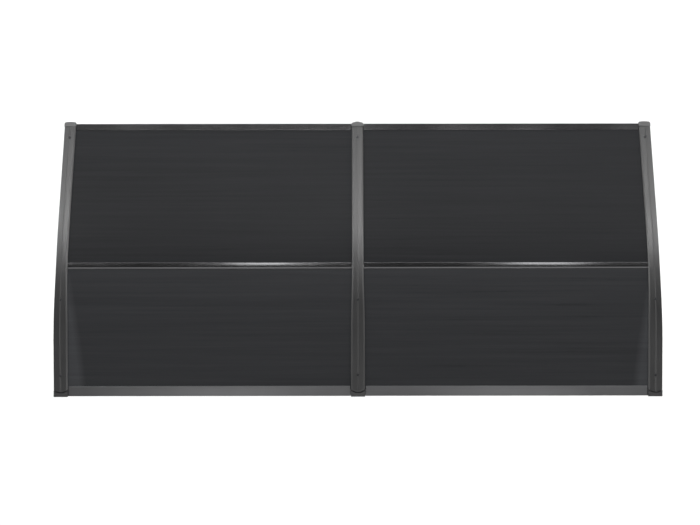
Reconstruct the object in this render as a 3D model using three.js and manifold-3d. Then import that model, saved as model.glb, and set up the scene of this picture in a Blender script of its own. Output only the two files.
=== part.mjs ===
// Two-bay door canopy: three moulded brackets carry smoked twin-wall sheets between
// aluminium rails. Millimetres, +Z up. The wall is the plane Y = 0 and the canopy reaches
// out to -Y; X runs along the wall. The origin is the middle of the middle bracket's
// wall plate, on its back face.
import * as THREE from "three";
import { mergeVertices } from "three/addons/utils/BufferGeometryUtils.js";
import Module from "manifold-3d";

const wasm = await Module();
wasm.setup();

// ---------------------------------------------------------------- driving dimensions
const BRACKET_PITCH = 977; // bracket centre to bracket centre
const WALL_WIDTH = 46; // width of bracket and cover near the wall
const FRONT_WIDTH = 38; // width of bracket and cover near the front
const TAPER_FROM = 190; // the width changes between these two places along the arm
const TAPER_TO = 450;

const ARM_LENGTH = 941; // along the curve, from the wall to the tip of the nose
const SLOPE_WALL = 4; // degrees down, at the wall
const SLOPE_FRONT = 24; // degrees down, at the front
const BEND_FROM = 100; // the slope changes between these two places along the arm
const BEND_TO = 640;
const STATION_STEP = 60; // facet length along the curve

const PLATE_TOP = 140; // wall plate, above and below the origin
const PLATE_BOTTOM = -140;
const PLATE_THICK = 10;
const SEAT_HEIGHT = 127; // underside of the sheets at the wall, above the origin
const BOLT_HOLE = 9;
const BOLT_HEIGHTS = [72, -92];

const SHEET_THICK = 5;
const SHEET_SKIN = 0.8;
const FLUTE_PITCH = 12.5;
const FLUTE_RIB = 1.2;
const SHEET_END = 8; // sheet edge to bracket centre

const SEAT_DEEP = 6; // thickness of the seat flange
const SPINE_HALF = 6;
const SPINE_TOP = 6.7;
const BODY_HALF = 17; // half width of the hollow arm and gusset
const SHELL = 4; // wall thickness of the hollow arm and gusset
const ARM_DEPTH = 24; // depth of the arm under the sheets, at its root and its nose
const ARM_DEPTH_NOSE = 18;
const GUSSET_REACH = 388; // where the gusset's straight edge meets the arm

const COVER_UNDER = 7.1; // cover section, above the underside of the sheets
const COVER_SHOULDER = 9.0;
const COVER_TOP = 10.4;
const COVER_RIDGE = 11.5;
const COVER_LIP = 1.6;
const COVER_FROM = 24;
const LIP_LENGTH = 10; // wall plate's thick top, under the lip
const LIP_MIDDLE = 12.9; // top lip's reach from the wall, at the bracket's middle
const LIP_HOLLOW = 7.6; // how much further it reaches at its two ends
const GROOVE = 2.3; // groove between the lip and the cover's rounded end

const NOSE_LENGTH = 17;
const NOSE_WIDTH = 41;
const RAIL_SETBACK = 6; // front rail's face behind the nose
const FRONT_RAIL = 24; // visible width of the front rail
const REAR_RAIL = 33; // visible width of the rear rail
const REAR_RAIL_BACK = 1.5; // rear rail's back to the wall
const JOINT_AT = 430; // middle of the joint bar along the curve
const JOINT_BAR = 21; // width of the joint bar
const RAIL_WALL = 1.6;
const FIT = 0.4; // free gap between pieces that touch

// ---------------------------------------------------------------- the arm's curve
const rad = THREE.MathUtils.degToRad;
const smooth = (a, b, s) => THREE.MathUtils.smoothstep(s, a, b);
const slopeAt = (s) =>
  rad(SLOPE_WALL + (SLOPE_FRONT - SLOPE_WALL) * smooth(BEND_FROM, BEND_TO, s));

const STATIONS = [];
for (let s = -STATION_STEP; s < ARM_LENGTH + STATION_STEP; s += STATION_STEP)
  STATIONS.push(s);

// Each station holds a point of the curve (distance from the wall, height) and its normal.
const FRAMES = (() => {
  const fine = 3;
  const frames = [];
  let u = 0,
    z = SEAT_HEIGHT;
  // from station 0 outwards, and one station back into the wall for clean ends
  const first = { s: -STATION_STEP };
  first.u = -STATION_STEP * Math.cos(slopeAt(0));
  first.z = SEAT_HEIGHT + STATION_STEP * Math.sin(slopeAt(0));
  frames.push({ ...first, a: slopeAt(0) });
  for (let i = 1; i < STATIONS.length; i++) {
    if (i > 1) {
      const n = STATION_STEP / fine;
      for (let k = 0; k < n; k++) {
        const a = slopeAt(STATIONS[i - 1] + (k + 0.5) * fine);
        u += fine * Math.cos(a);
        z -= fine * Math.sin(a);
      }
    }
    frames.push({ s: STATIONS[i], u, z, a: slopeAt(STATIONS[i]) });
  }
  return frames.map((f) => ({ ...f, nu: Math.sin(f.a), nz: Math.cos(f.a) }));
})();

// Point at distance s along the curve and h above it, as (distance from wall, height).
function at(s, h) {
  const t = (s - STATIONS[0]) / STATION_STEP;
  const i = Math.min(Math.max(Math.floor(t), 0), FRAMES.length - 2);
  const k = t - i;
  const p = FRAMES[i],
    q = FRAMES[i + 1];
  return new THREE.Vector2(
    (p.u + h * p.nu) * (1 - k) + (q.u + h * q.nu) * k,
    (p.z + h * p.nz) * (1 - k) + (q.z + h * q.nz) * k,
  );
}
// The places along the curve where a piece from a to b has vertices.
const along = (a, b) => [
  a,
  ...STATIONS.filter((s) => s > a + 0.5 && s < b - 0.5),
  b,
];
// Local directions at s: forward along the curve and up from it.
function axesAt(s) {
  const p = at(s - 0.5, 0),
    q = at(s + 0.5, 0);
  const f = q.clone().sub(p).normalize();
  return { f, n: new THREE.Vector2(-f.y, f.x) };
}
const widthAt = (s) =>
  WALL_WIDTH +
  (FRONT_WIDTH - WALL_WIDTH) * smooth(TAPER_FROM, TAPER_TO, s);

// ---------------------------------------------------------------- solids
const toSpace = (u, z, x) => new THREE.Vector3(x, -u, z);

function solid(geometry) {
  const g = geometry.clone();
  for (const name of Object.keys(g.attributes))
    if (name !== "position") g.deleteAttribute(name);
  const m = mergeVertices(g, 1e-4);
  return new wasm.Manifold(
    new wasm.Mesh({
      numProp: 3,
      vertProperties: new Float32Array(m.attributes.position.array),
      triVerts: new Uint32Array(m.index.array),
    }),
  );
}
function geometryOf(body) {
  const mesh = body.getMesh();
  const g = new THREE.BufferGeometry();
  const n = mesh.numProp;
  const p = new Float32Array((mesh.vertProperties.length / n) * 3);
  for (let i = 0; i < p.length / 3; i++)
    for (let k = 0; k < 3; k++) p[3 * i + k] = mesh.vertProperties[n * i + k];
  g.setAttribute("position", new THREE.BufferAttribute(p, 3));
  g.setIndex(new THREE.BufferAttribute(new Uint32Array(mesh.triVerts), 1));
  const flat = g.toNonIndexed();
  flat.computeVertexNormals();
  return flat;
}

// A side outline (distance from wall, height) drawn out along X between x0 and x1.
function prism(outline, x0, x1, holes = []) {
  const shape = new THREE.Shape(outline);
  for (const h of holes) shape.holes.push(new THREE.Path(h));
  const g = new THREE.ExtrudeGeometry(shape, {
    depth: x1 - x0,
    bevelEnabled: false,
    steps: 1,
  });
  // shape x -> -Y, shape y -> +Z, depth -> X, reflected so that faces stay outwards
  const p = g.attributes.position;
  for (let i = 0; i < p.count; i++) {
    const u = p.getX(i),
      z = p.getY(i),
      d = p.getZ(i);
    p.setXYZ(i, x1 - d, -u, z);
  }
  return g;
}

// A band that follows the curve from s0 to s1 between heights h0 and h1, with its two
// side faces given as functions of (s, h).
function band(s0, s1, h0, h1, left, right) {
  const stops = along(s0, s1);
  const outline = [],
    marks = [];
  for (const s of stops) {
    outline.push(at(s, h0));
    marks.push([s, h0]);
  }
  for (const s of [...stops].reverse()) {
    outline.push(at(s, h1));
    marks.push([s, h1]);
  }
  const g = prism(outline, -1, 1);
  const p = g.attributes.position;
  for (let i = 0; i < p.count; i++) {
    let best = 0,
      far = Infinity;
    for (let k = 0; k < outline.length; k++) {
      const d =
        (outline[k].x + p.getY(i)) ** 2 + (outline[k].y - p.getZ(i)) ** 2;
      if (d < far) {
        far = d;
        best = k;
      }
    }
    const [s, h] = marks[best];
    p.setX(i, p.getX(i) < 0 ? left(s, h) : right(s, h));
  }
  return g;
}
const flat = (x) => () => x;

// A section (x across, h above the curve) carried along the curve from s0 to s1. shift
// moves a section point sideways where the piece changes width.
function sweep(section, s0, s1, shift = (x) => x) {
  const stops = along(s0, s1);
  const n = stops.length - 1;
  const shape = new THREE.Shape(section.map(([x, h]) => new THREE.Vector2(x, h)));
  const g = new THREE.ExtrudeGeometry(shape, {
    depth: 1,
    steps: n,
    bevelEnabled: false,
  });
  const p = g.attributes.position;
  for (let i = 0; i < p.count; i++) {
    const s = stops[Math.round(p.getZ(i) * n)];
    const q = at(s, p.getY(i));
    const v = toSpace(q.x, q.y, shift(p.getX(i), s));
    p.setXYZ(i, v.x, v.y, v.z);
  }
  return g;
}
// Points near the outer edges follow the bracket's taper, points near the middle stay.
const taper = (x, s) =>
  Math.abs(x) > 12 ? x + (Math.sign(x) * (widthAt(s) - WALL_WIDTH)) / 2 : x;

// A closed round bar along the local up (or forward) direction at s, from h0 to h1.
function roundAt(s, x, radius, h0, h1, sides = 16) {
  const { f, n } = axesAt(s);
  const g = new THREE.CylinderGeometry(radius, radius, h1 - h0, sides);
  const c = at(s, 0).clone().addScaledVector(n, (h0 + h1) / 2);
  g.applyMatrix4(
    new THREE.Matrix4().makeBasis(
      new THREE.Vector3(1, 0, 0),
      toSpace(n.x, n.y, 0),
      new THREE.Vector3().crossVectors(
        new THREE.Vector3(1, 0, 0),
        toSpace(n.x, n.y, 0),
      ),
    ),
  );
  const v = toSpace(c.x, c.y, x);
  g.translate(v.x, v.y, v.z);
  return g;
}

// A pan-head screw: head on top of h, shank below, both along the given unit axis.
function screwGeometry(headRadius, headHeight, shankRadius, shankLength, sides) {
  const r = headRadius,
    k = headHeight;
  const profile = [
    [0, -shankLength],
    [shankRadius, -shankLength + shankRadius * 1.6],
    [shankRadius, 0],
    [r, 0],
    [r, k * 0.45],
    [r * 0.7, k],
    [r * 0.28, k],
    [0, k * 0.35],
  ].map(([x, y]) => new THREE.Vector2(x, y));
  return new THREE.LatheGeometry(profile, sides);
}

const smokedSheet = () =>
  new THREE.MeshStandardMaterial({
    color: 0x34353a,
    roughness: 0.3,
    metalness: 0,
  });
const bracketPlastic = () =>
  new THREE.MeshStandardMaterial({
    color: 0x4a4a4c,
    roughness: 0.5,
    metalness: 0,
  });
const darkAluminium = () =>
  new THREE.MeshStandardMaterial({
    color: 0x5a5c5e,
    roughness: 0.35,
    metalness: 0.9,
  });
const blackRubber = () =>
  new THREE.MeshStandardMaterial({
    color: 0x1d1d1e,
    roughness: 0.85,
    metalness: 0,
  });
const screwSteel = () =>
  new THREE.MeshStandardMaterial({
    color: 0x2a2a2c,
    roughness: 0.4,
    metalness: 0.8,
  });

const canopy = new THREE.Group();
canopy.name = "door_canopy";
function add(group, name, geometry, material) {
  const mesh = new THREE.Mesh(geometry, material);
  mesh.name = name;
  group.add(mesh);
  return mesh;
}

// ---------------------------------------------------------------- derived places
const NOSE_BACK = ARM_LENGTH - NOSE_LENGTH;
const ARM_FRONT = NOSE_BACK - FIT;
const COVER_TO = NOSE_BACK - FIT;
const RAIL_FACE = ARM_LENGTH - RAIL_SETBACK;
const CHAMBER = 11.5; // depth of the front rail's hollow
const REAR_CHAMBER = 18; // depth of the rear rail's hollow
const REAR_SHEET_FROM = REAR_RAIL_BACK + REAR_CHAMBER + RAIL_WALL + FIT;
const REAR_SHEET_TO = JOINT_AT - 0.8 - FIT;
const FRONT_SHEET_FROM = JOINT_AT + 0.8 + FIT;
const FRONT_SHEET_TO = RAIL_FACE - CHAMBER - FIT;
const COVER_SCREWS = [70, 318, ARM_LENGTH - 57];
const EAR = 2.5; // flange that stops the rear rails, on each side of the wall plate
const LUG = 15;

// Plan outline from the wall to a hollow line, (x, distance from wall), drawn up from z0 to z1.
const lipEdge = (x) =>
  LIP_MIDDLE + LIP_HOLLOW * ((2 * x) / WALL_WIDTH) ** 2;
function hollowPlan(halfWidth, gap, z0, z1, bevel) {
  const plan = new THREE.Shape();
  plan.moveTo(-halfWidth, 0);
  plan.lineTo(halfWidth, 0);
  for (let k = 0; k <= 12; k++) {
    const x = halfWidth * (1 - k / 6);
    plan.lineTo(x, lipEdge(x) + gap);
  }
  plan.closePath();
  const g = new THREE.ExtrudeGeometry(plan, {
    depth: z1 - z0 - 2 * bevel,
    bevelEnabled: bevel > 0,
    bevelThickness: bevel,
    bevelSize: bevel,
    bevelOffset: -bevel,
    bevelSegments: 2,
  });
  g.translate(0, 0, z0 + bevel);
  // half a turn about Z: distance from the wall runs to -Y (the outline is symmetric)
  g.rotateZ(Math.PI);
  return g;
}

// ---------------------------------------------------------------- brackets
// side: 0 middle, -1 left end, +1 right end (its closed face looks away from the sheets)
function bracketGeometry(side) {
  const parts = [];
  const half = WALL_WIDTH / 2;

  // hollow arm and gusset, side outline
  const top = along(0, ARM_FRONT).map((s) => at(s, -SEAT_DEEP));
  const depthAt = (s) =>
    ARM_DEPTH +
    (ARM_DEPTH_NOSE - ARM_DEPTH) *
      THREE.MathUtils.clamp(
        (s - GUSSET_REACH) / (ARM_FRONT - GUSSET_REACH),
        0,
        1,
      );
  const under = along(GUSSET_REACH + 60, ARM_FRONT)
    .reverse()
    .map((s) => at(s, -depthAt(s)));
  const corner = at(GUSSET_REACH, -ARM_DEPTH);
  const foot = new THREE.Vector2(PLATE_THICK, PLATE_BOTTOM + 3);
  const rise = corner.clone().sub(foot);
  const knee = new THREE.QuadraticBezierCurve(
    under[under.length - 1].clone(),
    corner,
    foot.clone().addScaledVector(rise, 0.84),
  ).getPoints(6);
  const lower = [...under.slice(0, -1), ...knee, foot];
  const outer = [
    new THREE.Vector2(1, at(1, -SEAT_DEEP).y),
    ...top.slice(1),
    ...lower,
    new THREE.Vector2(1, PLATE_BOTTOM + 3),
  ].reverse();
  const shell = solid(prism(outer, -BODY_HALF, BODY_HALF));

  // the hollow, open downwards
  const roof = along(PLATE_THICK, ARM_FRONT - SHELL).map((s) =>
    at(s, -SEAT_DEEP - SHELL * 0.75),
  );
  const below = along(GUSSET_REACH + 60, ARM_FRONT - SHELL)
    .reverse()
    .map((s) => at(s, -depthAt(s) - 8));
  const hollowOutline = [
    ...roof,
    ...below,
    new THREE.Vector2(corner.x, corner.y - 40),
    new THREE.Vector2(PLATE_THICK + 12, PLATE_BOTTOM - 20),
    new THREE.Vector2(at(PLATE_THICK, 0).x, PLATE_BOTTOM - 20),
  ].reverse();
  const hollow = solid(
    prism(hollowOutline, -BODY_HALF + SHELL, BODY_HALF - SHELL),
  );
  let body = shell.subtract(hollow);

  // cross ribs in the hollow, set back from its mouth
  for (const [s, deep] of [
    [110, 150],
    [215, 98],
    [330, 36],
    [450, 15],
    [600, 14],
    [750, 13],
  ]) {
    const rib = band(
      s - 1.5,
      s + 1.5,
      -SEAT_DEEP - deep,
      -SEAT_DEEP - 1,
      flat(-BODY_HALF + SHELL - 1),
      flat(BODY_HALF - SHELL + 1),
    );
    parts.push(solid(rib));
  }
  // screw bosses under the seat
  for (const s of COVER_SCREWS)
    parts.push(solid(roundAt(s, 0, 6, -SEAT_DEEP - 10, -SEAT_DEEP - 1, 10)));

  // seat flange and spine, one section; an end bracket's spine reaches its outer face
  const spineLeft = side < 0 ? -half : -SPINE_HALF,
    spineRight = side > 0 ? half : SPINE_HALF;
  const seat = [
    [-half, -SEAT_DEEP - 0.5],
    [half, -SEAT_DEEP - 0.5],
    ...(side > 0 ? [] : [[half, -0.3]]),
    ...(side > 0 ? [] : [[spineRight, -0.3]]),
    [spineRight, SPINE_TOP],
    [spineLeft, SPINE_TOP],
    ...(side < 0 ? [] : [[spineLeft, -0.3]]),
    ...(side < 0 ? [] : [[-half, -0.3]]),
  ];
  parts.push(solid(sweep(seat, 1, ARM_FRONT, taper)));

  // wall plate, with a rounded top lip
  const lipTop = PLATE_TOP;
  const plate = [
    new THREE.Vector2(0, PLATE_BOTTOM),
    new THREE.Vector2(PLATE_THICK - 2.5, PLATE_BOTTOM),
    new THREE.Vector2(PLATE_THICK, PLATE_BOTTOM + 3),
    new THREE.Vector2(PLATE_THICK, at(0, -SEAT_DEEP - 8).y),
    new THREE.Vector2(LIP_LENGTH, at(LIP_LENGTH, -SEAT_DEEP - 4).y),
    new THREE.Vector2(LIP_LENGTH, lipTop - 3.5),
    new THREE.Vector2(LIP_LENGTH - 1.2, lipTop - 1.2),
    new THREE.Vector2(LIP_LENGTH - 3.5, lipTop),
    new THREE.Vector2(2.5, lipTop),
    new THREE.Vector2(0.8, lipTop - 0.8),
    new THREE.Vector2(0, lipTop - 2.5),
  ];
  parts.push(solid(prism(plate, -half, half)));
  parts.push(
    solid(hollowPlan(half, 0, at(8, -SEAT_DEEP - 0.5).y, lipTop, 1.2)),
  );

  // ears that stop the rear rails, and the lugs that carry them
  const cheeks = side === 0 ? [-1, 1] : [-side];
  for (const c of cheeks) {
    const x0 = half - 1,
      x1 = half + EAR;
    const ear = band(
      2,
      REAR_SHEET_FROM - 0.5,
      -15,
      7.6,
      flat(c > 0 ? x0 : -x1),
      flat(c > 0 ? x1 : -x0),
    );
    parts.push(solid(ear));
    const l0 = half + 1,
      l1 = half + EAR + LUG;
    const lug = band(
      REAR_RAIL_BACK + RAIL_WALL + FIT + 2,
      REAR_RAIL_BACK + REAR_CHAMBER - FIT,
      -11.6 + FIT,
      SHEET_THICK + 0.3 - FIT,
      flat(c > 0 ? l0 : -l1),
      flat(c > 0 ? l1 : -l0),
    );
    parts.push(solid(lug));
  }
  for (const p of parts) body = body.add(p);

  // bolt holes through the wall plate
  for (const z of BOLT_HEIGHTS) {
    const hole = new THREE.CylinderGeometry(
      BOLT_HOLE / 2,
      BOLT_HOLE / 2,
      60,
      16,
    );
    hole.translate(0, 0, z);
    body = body.subtract(solid(hole));
  }
  // holes for the cover screws, the nose screw and the rail screws
  for (const s of COVER_SCREWS)
    body = body.subtract(solid(roundAt(s, 0, 2.3, -24, 12, 10)));
  body = body.subtract(solid(noseScrewHole()));
  for (const c of cheeks)
    body = body.subtract(
      solid(roundAt(REAR_SCREW_S, c * REAR_SCREW_X, 1.8, -16, 1, 10)),
    );
  return geometryOf(body);
}
const REAR_SCREW_S = REAR_RAIL_BACK + 10.5;
const REAR_SCREW_X = WALL_WIDTH / 2 + EAR + 8.5;
const FRONT_SCREW_S = RAIL_FACE - 5.8;
const FRONT_SCREW_X = NOSE_WIDTH / 2 + 8.5;
const NOSE_SCREW_H = -11;

function forwardBar(s0, s1, h, radius, sides) {
  const { f, n } = axesAt(ARM_LENGTH - 8);
  const c0 = at(ARM_LENGTH - 8, h);
  const mid = (s0 + s1) / 2 - (ARM_LENGTH - 8);
  const g = new THREE.CylinderGeometry(radius, radius, s1 - s0, sides);
  const fw = toSpace(f.x, f.y, 0),
    ex = new THREE.Vector3(1, 0, 0);
  g.applyMatrix4(
    new THREE.Matrix4().makeBasis(
      ex,
      fw,
      new THREE.Vector3().crossVectors(ex, fw),
    ),
  );
  const v = toSpace(c0.x + f.x * mid, c0.y + f.y * mid, 0);
  g.translate(v.x, v.y, v.z);
  return g;
}
const noseScrewHole = () =>
  forwardBar(NOSE_BACK - 14, ARM_LENGTH + 4, NOSE_SCREW_H, 1.9, 12);

// ---------------------------------------------------------------- covers
// side: 0 middle, -1 left end, +1 right end. An end cover has no lip on its outer side,
// where it lies on the bracket's closed face.
function coverGeometry(side) {
  const w = WALL_WIDTH / 2,
    lip = SHEET_THICK + 0.4;
  const section = [
    ...(side < 0
      ? [[-w, COVER_UNDER]]
      : [
          [-w, lip],
          [-w + COVER_LIP, lip],
          [-w + COVER_LIP, COVER_UNDER],
        ]),
    ...(side > 0
      ? [[w, COVER_UNDER]]
      : [
          [w - COVER_LIP, COVER_UNDER],
          [w - COVER_LIP, lip],
          [w, lip],
        ]),
    [w, COVER_SHOULDER],
    [w - 2.2, COVER_TOP],
    [4.2, COVER_TOP],
    [2.2, COVER_RIDGE],
    [-2.2, COVER_RIDGE],
    [-4.2, COVER_TOP],
    [-w + 2.2, COVER_TOP],
    [-w, COVER_SHOULDER],
  ];
  // the wall end is rounded in plan and follows the lip
  let body = solid(
    sweep(section, LIP_MIDDLE + GROOVE - 1, COVER_TO, taper),
  ).subtract(
    solid(hollowPlan(w + 4, GROOVE, SEAT_HEIGHT - 10, SEAT_HEIGHT + 20, 0)),
  );
  for (const s of COVER_SCREWS) {
    body = body.subtract(solid(roundAt(s, 0, 5, COVER_UNDER + 1.5, 20, 14)));
    body = body.subtract(solid(roundAt(s, 0, 2.5, 0, 20, 10)));
  }
  return geometryOf(body);
}

// ---------------------------------------------------------------- gaskets
function gasketGeometry(sign) {
  const inner = SHEET_END + 1,
    outer = WALL_WIDTH / 2 - COVER_LIP - FIT,
    low = SHEET_THICK + 0.3,
    high = COVER_UNDER - 0.3;
  const section = [
    [inner, low],
    [outer, low],
    [outer, high],
    [inner, high],
  ].map(([x, h]) => [sign * x, h]);
  return geometryOf(
    solid(sweep(section, COVER_FROM + 0.5, COVER_TO - 0.5, taper)),
  );
}

// ---------------------------------------------------------------- nose caps
function noseGeometry(side) {
  const { f, n } = axesAt(ARM_LENGTH - 8);
  const base = at(NOSE_BACK, 0);
  const w = NOSE_WIDTH / 2;
  // plan: x across, y forward from the cap's back face
  const plan = new THREE.Shape();
  plan.moveTo(-w, 0);
  plan.lineTo(w, 0);
  plan.lineTo(w, NOSE_LENGTH - 8);
  plan.quadraticCurveTo(w, NOSE_LENGTH - 2, w - 8, NOSE_LENGTH - 0.8);
  plan.quadraticCurveTo(0, NOSE_LENGTH + 0.8, -w + 8, NOSE_LENGTH - 0.8);
  plan.quadraticCurveTo(-w, NOSE_LENGTH - 2, -w, NOSE_LENGTH - 8);
  plan.closePath();
  const low = -ARM_DEPTH_NOSE - 1,
    high = COVER_RIDGE + 0.3;
  const g = new THREE.ExtrudeGeometry(plan, {
    depth: high - low - 2.4,
    bevelEnabled: true,
    bevelThickness: 1.2,
    bevelSize: 1.2,
    bevelOffset: -1.2,
    bevelSegments: 1,
    curveSegments: 4,
  });
  g.translate(0, 0, low + 1.2);
  // plan (x, forward, up) to space
  const X = new THREE.Vector3(1, 0, 0),
    F = toSpace(f.x, f.y, 0),
    N = toSpace(n.x, n.y, 0);
  const place = new THREE.Matrix4().makeBasis(X, F, N);
  // (X, F, N) turns the other way round, so the cap is drawn mirrored in x
  const mirrored = place.determinant() < 0;
  const p = g.attributes.position;
  const v = new THREE.Vector3();
  for (let i = 0; i < p.count; i++) {
    v.set(mirrored ? -p.getX(i) : p.getX(i), p.getY(i), p.getZ(i));
    const q = new THREE.Vector3()
      .addScaledVector(X, v.x)
      .addScaledVector(F, v.y)
      .addScaledVector(N, v.z);
    const b = toSpace(base.x, base.y, 0);
    p.setXYZ(i, q.x + b.x, q.y + b.y, q.z + b.z);
  }
  let body = solid(g);
  const cheeks = side === 0 ? [-1, 1] : [-side];
  for (const c of cheeks) {
    const l0 = NOSE_WIDTH / 2 - 1,
      l1 = NOSE_WIDTH / 2 + LUG;
    body = body.add(
      solid(
        band(
          RAIL_FACE - CHAMBER + RAIL_WALL + FIT,
          RAIL_FACE - RAIL_WALL - FIT,
          -5 + RAIL_WALL + FIT,
          SHEET_THICK + 0.3 - FIT,
          flat(c > 0 ? l0 : -l1),
          flat(c > 0 ? l1 : -l0),
        ),
      ),
    );
    body = body.subtract(
      solid(roundAt(FRONT_SCREW_S, c * FRONT_SCREW_X, 1.8, -12, 2.5, 10)),
    );
  }
  body = body.subtract(solid(noseScrewHole()));
  // seat for the nose screw's head
  body = body.subtract(
    solid(forwardBar(ARM_LENGTH - 5, ARM_LENGTH + 6, NOSE_SCREW_H, 4.2, 16)),
  );
  return geometryOf(body);
}

// ---------------------------------------------------------------- sheets
function sheetGeometry(s0, s1, x0, x1) {
  const stops = along(s0, s1);
  const outline = [
    ...stops.map((s) => at(s, 0)),
    ...[...stops].reverse().map((s) => at(s, SHEET_THICK)),
  ];
  const holes = [];
  const count = Math.floor((s1 - s0 - FLUTE_RIB) / FLUTE_PITCH);
  const pitch = (s1 - s0 - FLUTE_RIB) / count;
  for (let i = 0; i < count; i++) {
    const a = s0 + FLUTE_RIB + i * pitch,
      b = a + pitch - FLUTE_RIB;
    holes.push([
      at(a, SHEET_SKIN),
      at(a, SHEET_THICK - SHEET_SKIN),
      at(b, SHEET_THICK - SHEET_SKIN),
      at(b, SHEET_SKIN),
    ]);
  }
  return geometryOf(solid(prism(outline, x0, x1, holes)));
}

// ---------------------------------------------------------------- rails and joint bar
const pts = (list) => list.map(([s, h]) => at(s, h));
const SLOT = SHEET_THICK + 0.3; // top of the sheet slot
const RAIL_TOP = SLOT + RAIL_WALL;

function frontRailGeometry(x0, x1) {
  const e = RAIL_FACE,
    c = e - CHAMBER;
  const outline = pts([
    [c - 8.5, -0.3 - RAIL_WALL],
    [c, -0.3 - RAIL_WALL],
    [c, -5],
    [e - RAIL_WALL, -5],
    [e - RAIL_WALL, -15],
    [e, -15],
    [e, RAIL_TOP - 1],
    [e - 1, RAIL_TOP],
    [e - FRONT_RAIL + 0.8, RAIL_TOP],
    [e - FRONT_RAIL, RAIL_TOP - 0.8],
    [e - FRONT_RAIL, SLOT],
    [c + 0.01, SLOT],
    [c + 0.01, -0.3],
    [c - 8.5, -0.3],
  ]);
  const hole = pts([
    [c + RAIL_WALL, -5 + RAIL_WALL],
    [c + RAIL_WALL, SLOT],
    [e - RAIL_WALL, SLOT],
    [e - RAIL_WALL, -5 + RAIL_WALL],
  ]);
  let body = solid(prism(outline, x0, x1, [hole]));
  const off = FRONT_SCREW_X - NOSE_WIDTH / 2 - 0.4;
  for (const x of [x0 + off, x1 - off])
    body = body.subtract(solid(roundAt(FRONT_SCREW_S, x, 1.9, -9, -1, 10)));
  return geometryOf(body);
}

function rearRailGeometry(x0, x1) {
  const b = REAR_RAIL_BACK,
    c = b + REAR_CHAMBER,
    e = b + REAR_RAIL;
  const backTop = new THREE.Vector2(b, at(b, RAIL_TOP).y);
  const backLow = new THREE.Vector2(b, at(b, -11.6 - RAIL_WALL).y);
  const grooveTop = backLow.y + 13,
    grooveLow = backLow.y + 6;
  const outline = [
    backLow,
    ...pts([
      [c + RAIL_WALL, -11.6 - RAIL_WALL],
      [c + RAIL_WALL, -0.3 - RAIL_WALL],
      [e - 4, -0.3 - RAIL_WALL],
      [e - 4, -0.3],
      [c + RAIL_WALL, -0.3],
      [c + RAIL_WALL, SLOT],
      [e, SLOT],
      [e, RAIL_TOP - 0.2],
      [e - 0.8, RAIL_TOP + 0.6],
      [e - 3, RAIL_TOP + 0.6],
      [e - 3.6, RAIL_TOP],
    ]),
    backTop,
    new THREE.Vector2(b, grooveTop),
    new THREE.Vector2(b + 0.9, grooveTop),
    new THREE.Vector2(b + 0.9, grooveLow),
    new THREE.Vector2(b, grooveLow),
  ];
  const inner = [
    new THREE.Vector2(b + RAIL_WALL + 0.9, at(b + 2, -11.6).y),
    new THREE.Vector2(b + RAIL_WALL + 0.9, at(b + 2, SLOT).y),
    at(c, SLOT),
    at(c, -11.6),
  ];
  let body = solid(prism(outline, x0, x1, [inner]));
  const off = REAR_SCREW_X - WALL_WIDTH / 2 - EAR - 0.4;
  for (const x of [x0 + off, x1 - off])
    body = body.subtract(solid(roundAt(REAR_SCREW_S, x, 1.9, -18, -6, 10)));
  return geometryOf(body);
}

function wallSealGeometry(x0, x1) {
  const b = REAR_RAIL_BACK;
  const low = at(b, -11.6 - RAIL_WALL).y + 6.3,
    high = low + 6.4;
  const outline = [
    [0.3, low + 1.2],
    [b + 0.6, low],
    [b + 0.6, high],
    [0.3, high - 1.2],
  ].map(([u, z]) => new THREE.Vector2(u, z));
  return geometryOf(solid(prism(outline, x0, x1)));
}

function jointBarGeometry(x0, x1) {
  const a = JOINT_AT - JOINT_BAR / 2,
    b = JOINT_AT + JOINT_BAR / 2,
    w = 0.8;
  const outline = pts([
    [a + 2, -0.3 - RAIL_WALL],
    [b - 2, -0.3 - RAIL_WALL],
    [b - 2, -0.3],
    [JOINT_AT + w, -0.3],
    [JOINT_AT + w, SLOT],
    [b, SLOT],
    [b, RAIL_TOP + 0.6],
    [b - 0.7, RAIL_TOP + 1.3],
    [b - 3.3, RAIL_TOP + 1.3],
    [b - 4.6, RAIL_TOP],
    [a + 4.6, RAIL_TOP],
    [a + 3.3, RAIL_TOP + 1.3],
    [a + 0.7, RAIL_TOP + 1.3],
    [a, RAIL_TOP + 0.6],
    [a, SLOT],
    [JOINT_AT - w, SLOT],
    [JOINT_AT - w, -0.3],
    [a + 2, -0.3],
  ]);
  return geometryOf(solid(prism(outline, x0, x1)));
}

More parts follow.
